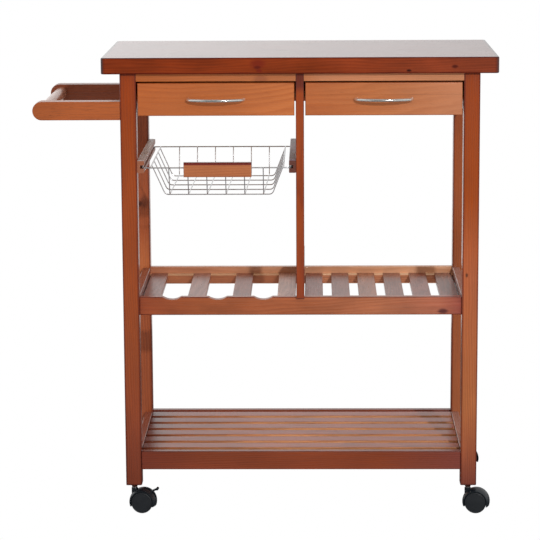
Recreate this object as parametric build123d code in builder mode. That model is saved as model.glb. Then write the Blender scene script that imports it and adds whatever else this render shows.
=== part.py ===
from build123d import *
from math import cos, radians, sin
import os

# Kitchen cart in mm, +Z up. It faces -Y, the towel handle is at -X, the floor is Z = 0.

# Work board
board_length = 680
board_depth = 344
board_thickness = 28
board_top = 807.5
board_corner = 6
board_arris = 2

# Legs
leg_side = 28
leg_foot = 50.5
leg_arris = 2
end_overhang = 31
edge_overhang = 13

# Rails and slats
rail_height = 32
rail_thickness = 14
rail_arris = 1.5
mid_rail_top = 388.5
mid_setback = 6
bottom_rail_top = 112.5
bottom_rail_height = 33
slat_width = 32
slat_thickness = 9
slat_arris = 1.2
mid_slat_drop = 12
wine_slat_count = 4
shelf_slat_count = 6
bottom_slat_count = 6
wine_end_gap = 1
wine_post_gap = 2.2
shelf_end_gap = 1.7
shelf_post_gap = 0.6
bottom_slat_gap = 1
batten_width = 17.5
batten_height = 15
scallop_chord = 33
scallop_depth = 5

# Rails under the board
top_rail_height = 14
top_rail_depth = 20
top_rail_setback = 1
apron_height = 81
apron_setback = 6
cleat_side = 12

# Centre posts, dividing board and drawer guide board
post_width = 14
post_trim = 2
post_housing = 2
divider_thickness = 13
divider_height = 54
guide_thickness = 12
guide_height = 76

# Towel handle
handle_reach = 151
arm_height = 32
arm_drop = 76
bar_radius = 11
bar_inset = 19
bar_tenon = 12

# Drawers
drawer_gap = 2.35
drawer_front_height = 56.6
drawer_front_thickness = 14
drawer_front_arris = 2
box_inset = 4
box_side_thickness = 10
box_height = 46
box_back_gap = 28
box_lift = 2
box_panel = 4
box_groove = 3
box_panel_lift = 3
runner_height = 10
runner_lift = 27
runner_groove = 5
runner_clearance = 0.4

# Drawer pulls
pull_centres = 96
pull_rod_radius = 2.9
pull_reach = 28
pull_neck = 4
pull_screw_radius = 1.5
pull_screw_depth = 4.5

# Basket and its runners
slide_width = 12
slide_height = 22
slide_drop = 150
slide_hold = 6
slide_groove_height = 6
slide_groove_depth = 7
slide_groove_lift = 7.6
rim_wire_radius = 1.1
mesh_wire_radius = 0.95
rim_clearance = 0.3
rim_front = 1.5
rim_back_gap = 12.5
rim_corner = 8
inner_wire_inset = 14
basket_drop = 50
basket_batter = 25
basket_corner = 6
cross_wire_count = 5
long_wire_count = 6
long_wire_margin = 7
cross_wire_inset = 11
weld_bite = 0.3
grip_length = 117
grip_height = 25
grip_thickness = 12
grip_offset = 2
grip_lift = 10

# Casters
wheel_radius = 19
wheel_width = 9.2
wheel_shoulder = 2
wheel_dish_radius = 15
wheel_dish_depth = 1
wheel_wall = 1.6
caster_trail = 15
web_half = 5.8
wheel_side_gap = 0.6
hood_half_width = 16
hood_rim_gap = 0.7
hood_rim_wall = 1.6
hood_crown = 2.9
hood_cut = 12.2
housing_radius = 5.6
housing_top = 43
stem_radius = 3.95
stem_clearance = 0.05
stem_head_radius = 4.6
stem_head_height = 2.5
stem_head_lift = 21
head_clearance = 0.3
socket_radius = 5
socket_depth = 31
collar_height = 5.5
collar_top_radius = 6.5
collar_foot_radius = 4.8
axle_radius = 3
axle_clearance = 0.05
lever_pivot_x = 22
lever_pivot_z = 33
lever_length = 21
lever_angle = 26
lever_half_width = 4
lever_thickness = 2.6
lever_tip_radius = 2.4
lever_slot_gap = 0.4
lever_pin_radius = 1.6
caster_yaw = {"front_left": 8, "front_right": 10, "rear_left": -15, "rear_right": -17}

# Joinery
press_ease = 0.05
dowel_radius = 4
dowel_length = 24
dowel_spread = 9
screw_radius = 2
screw_length = 25
screw_head_radius = 4
screw_head_depth = 2.6

# Frame planes that follow from the sizes above
frame_width = board_length - 2 * end_overhang
frame_depth = board_depth - 2 * edge_overhang
board_under = board_top - board_thickness
centre_x = (frame_width / 2 + handle_reach - board_length / 2) / 2
front_y = -(frame_depth + edge_overhang - pull_reach) / 2
back_y = front_y + frame_depth
inner_half = frame_width / 2 - leg_side
leg_half = frame_width / 2 - leg_side / 2
leg_inner_front = front_y + leg_side
leg_inner_back = back_y - leg_side
leg_front_mid = front_y + leg_side / 2
leg_back_mid = back_y - leg_side / 2
post_half = post_width / 2
rear_post_right = post_half - post_trim

os.makedirs("parts", exist_ok=True)


def block(low, high):
    with BuildPart() as piece:
        with Locations(tuple((a + b) / 2 for a, b in zip(low, high))):
            Box(*[b - a for a, b in zip(low, high)])
    return piece.part


def bar(low, high, along, arris):
    with BuildPart() as piece:
        add(block(low, high))
        fillet(piece.edges().filter_by(along), radius=arris)
    return piece.part


def drilled(piece, holes, radius, length):
    with BuildPart() as bored:
        add(piece)
        for point, turn in holes:
            with Locations(point):
                Cylinder(radius, length, rotation=turn, mode=Mode.SUBTRACT)
    return bored.part


def save(name, solids):
    group = Compound(children=list(solids)) if len(solids) > 1 else solids[0]
    group.label = name
    export_step(group, "parts/" + name + ".step")


# Heights of the rails, aprons and drawers
mid_rail_bottom = mid_rail_top - rail_height
mid_rail_mid = mid_rail_top - rail_height / 2
bottom_rail_bottom = bottom_rail_top - bottom_rail_height
bottom_rail_mid = bottom_rail_top - bottom_rail_height / 2
top_rail_bottom = board_under - top_rail_height
apron_bottom = board_under - apron_height
drawer_top = top_rail_bottom - drawer_gap
drawer_bottom = drawer_top - drawer_front_height
mid_slat_top = mid_rail_top - mid_slat_drop
arm_mid = board_under + board_thickness - arm_drop - arm_height / 2
box_bottom = drawer_bottom + box_lift
runner_bottom = box_bottom + runner_lift
runner_top = runner_bottom + runner_height

# Planes of the rails front to back
mid_front_near = front_y + mid_setback
mid_front_far = mid_front_near + rail_thickness
mid_back_far = back_y - mid_setback
mid_back_near = mid_back_far - rail_thickness
apron_far = back_y - apron_setback
apron_near = apron_far - rail_thickness
top_rail_near = front_y + top_rail_setback
top_rail_far = top_rail_near + top_rail_depth

# Dowel places. Turns lay a dowel along X or Y.
lay_x = (0, 90, 0)
lay_y = (90, 0, 0)
stand = (0, 0, 0)
side_apron_mid = frame_width / 2 - apron_setback - rail_thickness / 2
side_rail_mid = inner_half + rail_thickness / 2
leg_top_x = frame_width / 2 - dowel_radius - 5
apron_levels = [apron_bottom + apron_height / 2 - 21, apron_bottom + apron_height / 2 + 21]
side_apron_levels = [apron_bottom + apron_height / 2 - 6.5, apron_bottom + apron_height / 2 + 7.5]
mid_levels = [mid_rail_mid - dowel_spread, mid_rail_mid + dowel_spread]
bottom_levels = [bottom_rail_mid - dowel_spread, bottom_rail_mid + dowel_spread]
arm_levels = [arm_mid - dowel_spread + 1, arm_mid + dowel_spread - 1]
top_level = top_rail_bottom + top_rail_height / 2
top_mid_y = top_rail_near + top_rail_depth / 2

dowels = []
for side in (-1, 1):
    face = centre_x + side * inner_half
    dowels.append(((face, top_mid_y, top_level), lay_x))
    for z in apron_levels:
        dowels.append(((face, (apron_near + apron_far) / 2, z), lay_x))
    for z in mid_levels:
        dowels.append(((face, (mid_front_near + mid_front_far) / 2, z), lay_x))
        dowels.append(((face, (mid_back_near + mid_back_far) / 2, z), lay_x))
    for z in bottom_levels:
        dowels.append(((face, front_y + rail_thickness / 2, z), lay_x))
        dowels.append(((face, back_y - rail_thickness / 2, z), lay_x))
    for y in (leg_inner_front, leg_inner_back):
        for z in side_apron_levels:
            dowels.append(((centre_x + side * side_apron_mid, y, z), lay_y))
        dowels.append(((centre_x + side * side_rail_mid, y, mid_rail_mid), lay_y))
        dowels.append(((centre_x + side * side_rail_mid, y, bottom_rail_mid), lay_y))
    for y in (leg_front_mid, leg_back_mid):
        dowels.append(((centre_x + side * leg_top_x, y, board_under), stand))
for y in (leg_front_mid, leg_back_mid):
    for z in arm_levels:
        dowels.append(((centre_x - frame_width / 2, y, z), lay_x))
rear_post_mid = centre_x + (rear_post_right - post_half) / 2
front_post_top_y = front_y + leg_side - dowel_radius - 3
rear_post_top_y = back_y - leg_side + dowel_radius + 2
dowels.append(((centre_x, top_mid_y, top_level), lay_x))
dowels.append(((centre_x, front_post_top_y, board_under), stand))
dowels.append(((centre_x, (mid_front_near + mid_front_far) / 2, mid_rail_top - post_housing), stand))
for z in apron_levels:
    dowels.append(((rear_post_mid, (apron_near + apron_far) / 2, z), lay_x))
dowels.append(((rear_post_mid, rear_post_top_y, board_under), stand))
dowels.append(((rear_post_mid, (mid_back_near + mid_back_far) / 2, mid_rail_top - post_housing), stand))

frame_dowels = []
for point, turn in dowels:
    with BuildPart() as dowel:
        with Locations(point):
            Cylinder(dowel_radius, dowel_length, rotation=turn)
    frame_dowels.append(dowel.part.solid())
save("frame_dowels", frame_dowels)


def doweled(piece):
    box = piece.bounding_box()
    reach = dowel_length / 2
    near = []
    for point, turn in dowels:
        inside = [box.min.X - reach <= point[0] <= box.max.X + reach]
        inside.append(box.min.Y - reach <= point[1] <= box.max.Y + reach)
        inside.append(box.min.Z - reach <= point[2] <= box.max.Z + reach)
        if all(inside):
            near.append((point, turn))
    return drilled(piece, near, dowel_radius + press_ease, dowel_length) if near else piece


# Wood screws that hold the board, each with its point up and its head flush below
cleat_outer = frame_width / 2 - apron_setback - rail_thickness
cleat_inner = cleat_outer - cleat_side
screw_places = []
for side in (-1, 1):
    for part_way in (1 / 3, 2 / 3):
        x = centre_x + side * (post_half + (inner_half - post_half) * part_way)
        screw_places.append((x, top_mid_y, top_rail_bottom))
    for part_way in (1 / 5, 4 / 5):
        y = leg_inner_front + (leg_inner_back - leg_inner_front) * part_way
        x = centre_x + side * (cleat_outer + cleat_inner) / 2
        screw_places.append((x, y, board_under - cleat_side))


def screw(place, ease):
    with BuildPart() as body:
        with Locations(place):
            Cylinder(screw_radius + ease, screw_length, align=(Align.CENTER, Align.CENTER, Align.MIN))
            Cone(screw_head_radius + ease, screw_radius + ease, screw_head_depth,
                 align=(Align.CENTER, Align.CENTER, Align.MIN))
    return body.part


screw_holes = [screw(place, press_ease) for place in screw_places]
save("wood_screws", [screw(place, 0).solid() for place in screw_places])


def screwed(piece):
    box = piece.bounding_box()
    with BuildPart() as bored:
        add(piece)
        for place, hole in zip(screw_places, screw_holes):
            near_x = box.min.X <= place[0] <= box.max.X
            near_y = box.min.Y <= place[1] <= box.max.Y
            near_z = box.min.Z - screw_length <= place[2] <= box.max.Z
            if near_x and near_y and near_z:
                add(hole, mode=Mode.SUBTRACT)
    return bored.part


# Work board
with BuildPart() as top_board:
    add(block((centre_x - board_length / 2, front_y - edge_overhang, board_under),
              (centre_x + board_length / 2, back_y + edge_overhang, board_top)))
    fillet(top_board.edges().filter_by(Axis.Z), radius=board_corner)
    fillet(top_board.faces().sort_by(Axis.Z)[-1].edges(), radius=board_arris)
    fillet(top_board.faces().sort_by(Axis.Z)[0].edges(), radius=board_arris)
save("top_board", [screwed(doweled(top_board.part))])

# Legs, each bored below for its caster socket
leg_places = {}
for rank, y in (("front", leg_front_mid), ("rear", leg_back_mid)):
    for hand, x in (("left", centre_x - leg_half), ("right", centre_x + leg_half)):
        leg_places[rank + "_" + hand] = (x, y)
for name, (x, y) in leg_places.items():
    low = (x - leg_side / 2, y - leg_side / 2, leg_foot)
    high = (x + leg_side / 2, y + leg_side / 2, board_under)
    with BuildPart() as leg:
        add(bar(low, high, Axis.Z, leg_arris))
        chamfer(leg.faces().sort_by(Axis.Z)[0].edges(), length=leg_arris / 2)
        with Locations((x, y, leg_foot)):
            Cylinder(socket_radius + press_ease, socket_depth, align=(Align.CENTER, Align.CENTER, Align.MIN),
                     mode=Mode.SUBTRACT)
    save("leg_" + name, [doweled(leg.part)])

# Thin rails under the board at the front
front_top_rails = []
for near, far in ((-inner_half, -post_half), (post_half, inner_half)):
    low = (centre_x + near, top_rail_near, top_rail_bottom)
    high = (centre_x + far, top_rail_far, board_under)
    front_top_rails.append(screwed(doweled(bar(low, high, Axis.X, rail_arris))).solid())
save("front_top_rails", front_top_rails)

# Back apron in two halves, and the side aprons
back_aprons = []
for near, far in ((-inner_half, -post_half), (rear_post_right, inner_half)):
    low = (centre_x + near, apron_near, apron_bottom)
    high = (centre_x + far, apron_far, board_under)
    back_aprons.append(doweled(bar(low, high, Axis.X, rail_arris)).solid())
save("back_aprons", back_aprons)

side_aprons = []
for side in (-1, 1):
    ends = sorted((centre_x + side * cleat_outer, centre_x + side * (cleat_outer + rail_thickness)))
    low = (ends[0], leg_inner_front, apron_bottom)
    high = (ends[1], leg_inner_back, board_under)
    side_aprons.append(doweled(bar(low, high, Axis.Y, rail_arris)).solid())
save("side_aprons", side_aprons)

board_cleats = []
for side in (-1, 1):
    ends = sorted((centre_x + side * cleat_outer, centre_x + side * cleat_inner))
    low = (ends[0], leg_inner_front, board_under - cleat_side)
    high = (ends[1], leg_inner_back, board_under)
    board_cleats.append(screwed(block(low, high)).solid())
save("board_cleats", board_cleats)

# Centre posts, let into the tops of the middle rails
post_foot = mid_rail_top - post_housing
low = (centre_x - post_half, front_y, post_foot)
high = (centre_x + post_half, leg_inner_front, board_under)
centre_post_front = bar(low, high, Axis.Z, rail_arris)
save("centre_post_front", [doweled(centre_post_front)])
low = (centre_x - post_half, leg_inner_back, post_foot)
high = (centre_x + rear_post_right, back_y, board_under)
centre_post_rear = bar(low, high, Axis.Z, rail_arris)
save("centre_post_rear", [doweled(centre_post_rear)])

# Board between the drawers, with two of the four drawer runners
guide_half = guide_thickness / 2
low = (centre_x - guide_half, leg_inner_front, board_under - guide_height)
high = (centre_x + guide_half, leg_inner_back, board_under)
save("centre_drawer_guide", [block(low, high)])

front_half = (inner_half - post_half) / 2 - drawer_gap
drawer_mid = (inner_half + post_half) / 2
box_half = front_half - box_inset
runner_reach = box_half - runner_groove + runner_clearance
drawer_runners = []
for side in (-1, 1):
    mid = centre_x + side * drawer_mid
    for start, end in ((side * cleat_outer + centre_x, mid + side * runner_reach),
                       (side * guide_half + centre_x, mid - side * runner_reach)):
        low = (min(start, end), leg_inner_front, runner_bottom)
        high = (max(start, end), leg_inner_back, runner_top)
        drawer_runners.append(block(low, high).solid())
save("drawer_runners", drawer_runners)

# Middle rails. The front one has a scallop at each gap between the bottle slats.
bay_width = inner_half - post_half
wine_pitch = (bay_width - wine_end_gap - wine_post_gap - slat_width) / (wine_slat_count - 1)
shelf_pitch = (bay_width - shelf_end_gap - shelf_post_gap - slat_width) / (shelf_slat_count - 1)
wine_first = centre_x - inner_half + wine_end_gap + slat_width / 2
shelf_first = centre_x + post_half + shelf_post_gap + slat_width / 2
wine_slat_mids = [wine_first + k * wine_pitch for k in range(wine_slat_count)]
shelf_slat_mids = [shelf_first + k * shelf_pitch for k in range(shelf_slat_count)]
scallop_radius = (scallop_chord ** 2 / 4 + scallop_depth ** 2) / (2 * scallop_depth)
with BuildPart() as mid_front_rail:
    add(bar((centre_x - inner_half, mid_front_near, mid_rail_bottom),
            (centre_x + inner_half, mid_front_far, mid_rail_top), Axis.X, rail_arris))
    for k in range(wine_slat_count - 1):
        x = (wine_slat_mids[k] + wine_slat_mids[k + 1]) / 2
        with Locations((x, (mid_front_near + mid_front_far) / 2,
                        mid_rail_top - scallop_depth + scallop_radius)):
            Cylinder(scallop_radius, 2 * rail_thickness, rotation=lay_y, mode=Mode.SUBTRACT)
    add(centre_post_front, mode=Mode.SUBTRACT)
save("mid_front_rail", [doweled(mid_front_rail.part)])
with BuildPart() as mid_back_rail:
    add(bar((centre_x - inner_half, mid_back_near, mid_rail_bottom),
            (centre_x + inner_half, mid_back_far, mid_rail_top), Axis.X, rail_arris))
    add(centre_post_rear, mode=Mode.SUBTRACT)
save("mid_back_rail", [doweled(mid_back_rail.part)])

# Side rails of both shelves, their inner faces flush with the legs
side_rails = []
for side in (-1, 1):
    ends = sorted((centre_x + side * inner_half, centre_x + side * (inner_half + rail_thickness)))
    for bottom, top in ((mid_rail_bottom, mid_rail_top), (bottom_rail_bottom, bottom_rail_top)):
        low = (ends[0], leg_inner_front, bottom)
        high = (ends[1], leg_inner_back, top)
        side_rails.append(doweled(bar(low, high, Axis.Y, rail_arris)).solid())
save("side_rails", side_rails)


# Slats of the middle shelf run front to back between its rails
def mid_slat(x):
    low = (x - slat_width / 2, mid_front_far, mid_slat_top - slat_thickness)
    high = (x + slat_width / 2, mid_back_near, mid_slat_top)
    return bar(low, high, Axis.Y, slat_arris)


save("wine_slats", [mid_slat(x).solid() for x in wine_slat_mids])
save("shelf_slats", [mid_slat(x).solid() for x in shelf_slat_mids])

# Bottom rails, and slats that run left to right between the side rails
bottom_rails = []
for near in (front_y, back_y - rail_thickness):
    low = (centre_x - inner_half, near, bottom_rail_bottom)
    high = (centre_x + inner_half, near + rail_thickness, bottom_rail_top)
    bottom_rails.append(doweled(bar(low, high, Axis.X, rail_arris)).solid())
save("bottom_rails", bottom_rails)

bottom_clear = frame_depth - 2 * rail_thickness
bottom_gap = (bottom_clear - bottom_slat_count * slat_width) / (bottom_slat_count + 1)
bottom_slats = []
for k in range(bottom_slat_count):
    y = front_y + rail_thickness + bottom_gap + k * (slat_width + bottom_gap)
    low = (centre_x - inner_half + bottom_slat_gap, y, bottom_rail_top - slat_thickness)
    high = (centre_x + inner_half - bottom_slat_gap, y + slat_width, bottom_rail_top)
    bottom_slats.append(bar(low, high, Axis.X, slat_arris).solid())
save("bottom_slats", bottom_slats)

# Battens under the slats: notched for the middle shelf, plain for the bottom one
slat_battens = []
for near, far in ((mid_front_far, mid_front_far + batten_width),
                  (mid_back_near - batten_width, mid_back_near)):
    with BuildPart() as batten:
        add(block((centre_x - inner_half, near, mid_slat_top - batten_height),
                  (centre_x + inner_half, far, mid_slat_top)))
        for x in wine_slat_mids + shelf_slat_mids:
            with Locations((x, (near + far) / 2, mid_slat_top)):
                Box(slat_width, batten_width, slat_thickness,
                    align=(Align.CENTER, Align.CENTER, Align.MAX), mode=Mode.SUBTRACT)
    slat_battens.append(batten.part.solid())
for side in (-1, 1):
    ends = sorted((centre_x + side * inner_half, centre_x + side * (inner_half - batten_width)))
    low = (ends[0], front_y + rail_thickness, bottom_rail_top - slat_thickness - batten_height)
    high = (ends[1], back_y - rail_thickness, bottom_rail_top - slat_thickness)
    slat_battens.append(block(low, high).solid())
save("slat_battens", slat_battens)

# Board on edge that divides the bottle bay from the shelf
low = (centre_x - divider_thickness / 2, leg_inner_front, mid_slat_top)
high = (centre_x + divider_thickness / 2, leg_inner_back, mid_slat_top + divider_height)
save("wine_divider", [bar(low, high, Axis.Y, rail_arris)])

# Towel handle: two round-ended arms and a round bar let into them
arm_left = centre_x - frame_width / 2 - handle_reach
bar_x = arm_left + bar_inset
handle_arms = []
for near, far, bar_face in ((front_y, leg_inner_front, leg_inner_front),
                            (leg_inner_back, back_y, leg_inner_back)):
    with BuildPart() as arm:
        add(block((arm_left, near, arm_mid - arm_height / 2),
                  (centre_x - frame_width / 2, far, arm_mid + arm_height / 2)))
        fillet(arm.faces().sort_by(Axis.X)[0].edges().filter_by(Axis.Y), radius=arm_height / 2 - 0.01)
        fillet(arm.faces().sort_by(Axis.Y)[0].edges(), radius=rail_arris)
        fillet(arm.faces().sort_by(Axis.Y)[-1].edges(), radius=rail_arris)
        with Locations((bar_x, bar_face, arm_mid)):
            Cylinder(bar_radius + press_ease, 2 * bar_tenon, rotation=lay_y, mode=Mode.SUBTRACT)
    handle_arms.append(doweled(arm.part).solid())
save("handle_arms", handle_arms)
with BuildPart() as handle_bar:
    with Locations((bar_x, (leg_inner_front + leg_inner_back) / 2, arm_mid)):
        Cylinder(bar_radius, leg_inner_back - leg_inner_front + 2 * bar_tenon, rotation=lay_y)
save("handle_bar", [handle_bar.part])

# Drawers
pull_z = (drawer_top + drawer_bottom) / 2
bow_depth = pull_reach - pull_rod_radius
bow_half = pull_centres / 2
box_front = front_y + drawer_front_thickness
box_back = apron_near - box_back_gap
box_length = box_back - box_front
panel_bottom = box_bottom + box_panel_lift
panel_top = panel_bottom + box_panel
box_inner = box_half - box_side_thickness
for hand, side in (("left", -1), ("right", 1)):
    mid = centre_x + side * drawer_mid
    screw_xs = [mid - bow_half, mid + bow_half]
    with BuildPart() as drawer_front:
        add(block((mid - front_half, front_y, drawer_bottom), (mid + front_half, box_front, drawer_top)))
        fillet(drawer_front.faces().sort_by(Axis.Y)[0].edges(), radius=drawer_front_arris)
        with Locations((mid, box_front, panel_bottom)):
            Box(2 * (box_inner + box_groove), 2 * box_groove, box_panel,
                align=(Align.CENTER, Align.CENTER, Align.MIN), mode=Mode.SUBTRACT)
        for x in screw_xs:
            with Locations((x, front_y + drawer_front_thickness / 2, pull_z)):
                Cylinder(pull_screw_radius + 2 * press_ease, 2 * drawer_front_thickness, rotation=lay_y,
                         mode=Mode.SUBTRACT)
    save("drawer_" + hand + "_front", [drawer_front.part])

    box_pieces = []
    for edge in (-1, 1):
        ends = sorted((mid + edge * box_half, mid + edge * box_inner))
        with BuildPart() as box_side:
            add(block((ends[0], box_front, box_bottom), (ends[1], box_back, box_bottom + box_height)))
            with Locations((mid + edge * box_half, box_front, runner_bottom - runner_clearance)):
                Box(2 * runner_groove, 2 * box_length + 1, runner_height + 2 * runner_clearance,
                    align=(Align.CENTER, Align.CENTER, Align.MIN), mode=Mode.SUBTRACT)
            with Locations((mid + edge * box_inner, box_front, panel_bottom)):
                Box(2 * box_groove, 2 * box_length + 1, box_panel,
                    align=(Align.CENTER, Align.CENTER, Align.MIN), mode=Mode.SUBTRACT)
        box_pieces.append(box_side.part.solid())
    box_pieces.append(block((mid - box_inner, box_back - box_side_thickness, panel_top),
                            (mid + box_inner, box_back, box_bottom + box_height)).solid())
    save("drawer_" + hand + "_box", box_pieces)
    low = (mid - box_inner - box_groove, box_front - box_groove, panel_bottom)
    high = (mid + box_inner + box_groove, box_back, panel_top)
    save("drawer_" + hand + "_bottom", [block(low, high)])

    with BuildPart() as pull:
        with BuildLine(Plane.XY.offset(pull_z)) as bow:
            Line((mid - bow_half, front_y), (mid - bow_half, front_y - pull_neck))
            EllipticalCenterArc((mid, front_y - pull_neck), bow_half, bow_depth - pull_neck,
                                start_angle=180, arc_size=180)
            Line((mid + bow_half, front_y - pull_neck), (mid + bow_half, front_y))
        with BuildSketch(Plane(origin=(mid - bow_half, front_y, pull_z), z_dir=(0, -1, 0))):
            Circle(pull_rod_radius)
        sweep(path=bow.line)
        for x in screw_xs:
            with Locations((x, front_y, pull_z)):
                Cylinder(pull_screw_radius + press_ease, 2 * pull_screw_depth, rotation=lay_y,
                         mode=Mode.SUBTRACT)
    save("drawer_" + hand + "_pull", [pull.part])

    pull_screws = []
    for x in screw_xs:
        with BuildPart() as pull_screw:
            with Locations((x, box_front, pull_z)):
                Cylinder(pull_screw_radius, drawer_front_thickness + pull_screw_depth, rotation=lay_y,
                         align=(Align.CENTER, Align.CENTER, Align.MIN))
                Cylinder(2 * pull_screw_radius, 2, rotation=lay_y,
                         align=(Align.CENTER, Align.CENTER, Align.MAX))
        pull_screws.append(pull_screw.part.solid())
    save("drawer_" + hand + "_screws", pull_screws)

# Grooved runners for the basket
slide_top = board_under - slide_drop
slide_bottom = slide_top - slide_height
slide_far = leg_inner_back + slide_hold
slide_mid = (front_y + slide_far) / 2
groove_bottom = slide_bottom + slide_groove_lift
basket_runners = []
for outer, edge in ((centre_x - inner_half, 1), (centre_x - post_half, -1)):
    inner = outer + edge * slide_width
    low = (min(outer, inner), front_y, slide_bottom)
    high = (max(outer, inner), slide_far, slide_top)
    with BuildPart() as runner:
        add(bar(low, high, Axis.Y, rail_arris))
        with Locations((inner, slide_mid, groove_bottom)):
            Box(2 * slide_groove_depth, slide_far - front_y + 2, slide_groove_height,
                align=(Align.CENTER, Align.CENTER, Align.MIN), mode=Mode.SUBTRACT)
    basket_runners.append(runner.part.solid())
save("basket_runners", basket_runners)

# Wire basket
rim_z = groove_bottom + rim_clearance + rim_wire_radius
groove_inset = slide_width - slide_groove_depth
rim_inset = groove_inset + rim_wire_radius + 2.4
rim_left = centre_x - inner_half + rim_inset
rim_right = centre_x - post_half - rim_inset
rim_near = front_y + rim_front
rim_far = slide_far - rim_back_gap
side_left = rim_left + inner_wire_inset
side_right = rim_right - inner_wire_inset
basket_mid = (rim_left + rim_right) / 2
base_z = rim_z - basket_drop
base_left = side_left + basket_batter
base_right = side_right - basket_batter
base_near = rim_near + basket_batter
base_far = rim_far - basket_batter
long_wire_spacing = (base_right - base_left - 2 * long_wire_margin) / (long_wire_count - 1)


def wire(points, radius, bend):
    with BuildPart() as rod:
        with BuildLine() as path:
            if bend:
                FilletPolyline(*points, radius=bend)
            else:
                Line(*points)
        with BuildSketch(Plane(origin=path.line @ 0, z_dir=path.line % 0)):
            Circle(radius)
        sweep(path=path.line)
    return rod.part


rim_middle = (rim_left + rim_right) / 2
near_middle = (rim_middle, rim_near, rim_z)
far_middle = (rim_middle, rim_far, rim_z)
wires = []
for x in (rim_left, rim_right):
    wires.append(wire([near_middle, (x, rim_near, rim_z), (x, rim_far, rim_z), far_middle],
                      rim_wire_radius, rim_corner))
for x in (side_left, side_right):
    wires.append(wire([(x, rim_near, rim_z), (x, rim_far, rim_z)], rim_wire_radius, 0))
for k in range(long_wire_count):
    x = base_left + long_wire_margin + k * long_wire_spacing
    wires.append(wire([(x, rim_near, rim_z), (x, base_near, base_z), (x, base_far, base_z),
                       (x, rim_far, rim_z)], mesh_wire_radius, basket_corner))
cross_z = base_z - 2 * mesh_wire_radius + weld_bite
cross_near = base_near + cross_wire_inset
cross_far = base_far - cross_wire_inset / 2
for k in range(cross_wire_count):
    y = cross_near + k * (cross_far - cross_near) / (cross_wire_count - 1)
    wires.append(wire([(side_left, y, rim_z), (base_left, y, cross_z), (base_right, y, cross_z),
                       (side_right, y, rim_z)], mesh_wire_radius, basket_corner))
with BuildPart() as basket_wires:
    add(wires)
save("basket_wires", [basket_wires.part])

# Wood grip on the front of the rim
grip_mid = basket_mid + grip_offset
grip_back = rim_near
grip_top = rim_z + grip_lift
with BuildPart() as basket_grip:
    add(block((grip_mid - grip_length / 2, grip_back - grip_thickness, grip_top - grip_height),
              (grip_mid + grip_length / 2, grip_back, grip_top)))
    fillet(basket_grip.faces().sort_by(Axis.Y)[0].edges(), radius=3)
    with Locations((grip_mid, grip_back, rim_z)):
        Box(grip_length + 2, 2 * (rim_wire_radius + press_ease), 2 * (rim_wire_radius + press_ease),
            mode=Mode.SUBTRACT)
save("basket_grip", [basket_grip.part])

# Casters, drawn with the stem on the Z axis and trailing to +X, then set under each leg
wheel_inner = web_half + wheel_side_gap
wheel_outer = wheel_inner + wheel_width
rim_inner_radius = wheel_radius + hood_rim_gap
rim_outer_radius = rim_inner_radius + hood_rim_wall
crown_radius = rim_outer_radius + hood_crown
axle_half = wheel_outer - wheel_wall
bore_radius = stem_radius + stem_clearance
head_top = stem_head_lift + stem_head_height
lever_slot_half = lever_half_width + lever_slot_gap
trail_plane = Plane.YZ.offset(caster_trail)
axle_line = Axis((caster_trail, 0, wheel_radius), (0, 1, 0))


def caster_hood(with_lever):
    with BuildPart() as hood:
        with BuildSketch(trail_plane):
            with BuildLine():
                Line((-hood_half_width, wheel_radius + rim_inner_radius),
                     (hood_half_width, wheel_radius + rim_inner_radius))
                Line((hood_half_width, wheel_radius + rim_inner_radius),
                     (hood_half_width, wheel_radius + rim_outer_radius))
                ThreePointArc((hood_half_width, wheel_radius + rim_outer_radius),
                              (0, wheel_radius + crown_radius),
                              (-hood_half_width, wheel_radius + rim_outer_radius))
                Line((-hood_half_width, wheel_radius + rim_outer_radius),
                     (-hood_half_width, wheel_radius + rim_inner_radius))
            make_face()
        revolve(axis=axle_line)
        with Locations((caster_trail, 0, wheel_radius)):
            Cylinder(rim_outer_radius, 2 * web_half, rotation=lay_y)
        with Locations((0, 0, hood_cut)):
            Cylinder(housing_radius, housing_top - hood_cut, align=(Align.CENTER, Align.CENTER, Align.MIN))
        with Locations((caster_trail, 0, hood_cut)):
            Box(4 * crown_radius, 4 * hood_half_width, 4 * crown_radius,
                align=(Align.CENTER, Align.CENTER, Align.MAX), mode=Mode.SUBTRACT)
        with Locations((0, 0, 0)):
            Cylinder(bore_radius, housing_top + 1, align=(Align.CENTER, Align.CENTER, Align.MIN),
                     mode=Mode.SUBTRACT)
            Cylinder(stem_head_radius + head_clearance, head_top + head_clearance,
                     align=(Align.CENTER, Align.CENTER, Align.MIN), mode=Mode.SUBTRACT)
        with Locations((caster_trail, 0, wheel_radius)):
            Cylinder(axle_radius + press_ease, 4 * web_half, rotation=lay_y, mode=Mode.SUBTRACT)
        if with_lever:
            with Locations((lever_pivot_x - lever_thickness - 3, 0, lever_pivot_z - lever_thickness - 4)):
                Box(2 * crown_radius, 2 * lever_slot_half, 2 * crown_radius,
                    align=(Align.MIN, Align.CENTER, Align.MIN), mode=Mode.SUBTRACT)
            with Locations((lever_pivot_x, 0, lever_pivot_z)):
                Cylinder(lever_pin_radius + axle_clearance, 4 * web_half, rotation=lay_y, mode=Mode.SUBTRACT)
    return hood.part


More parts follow.
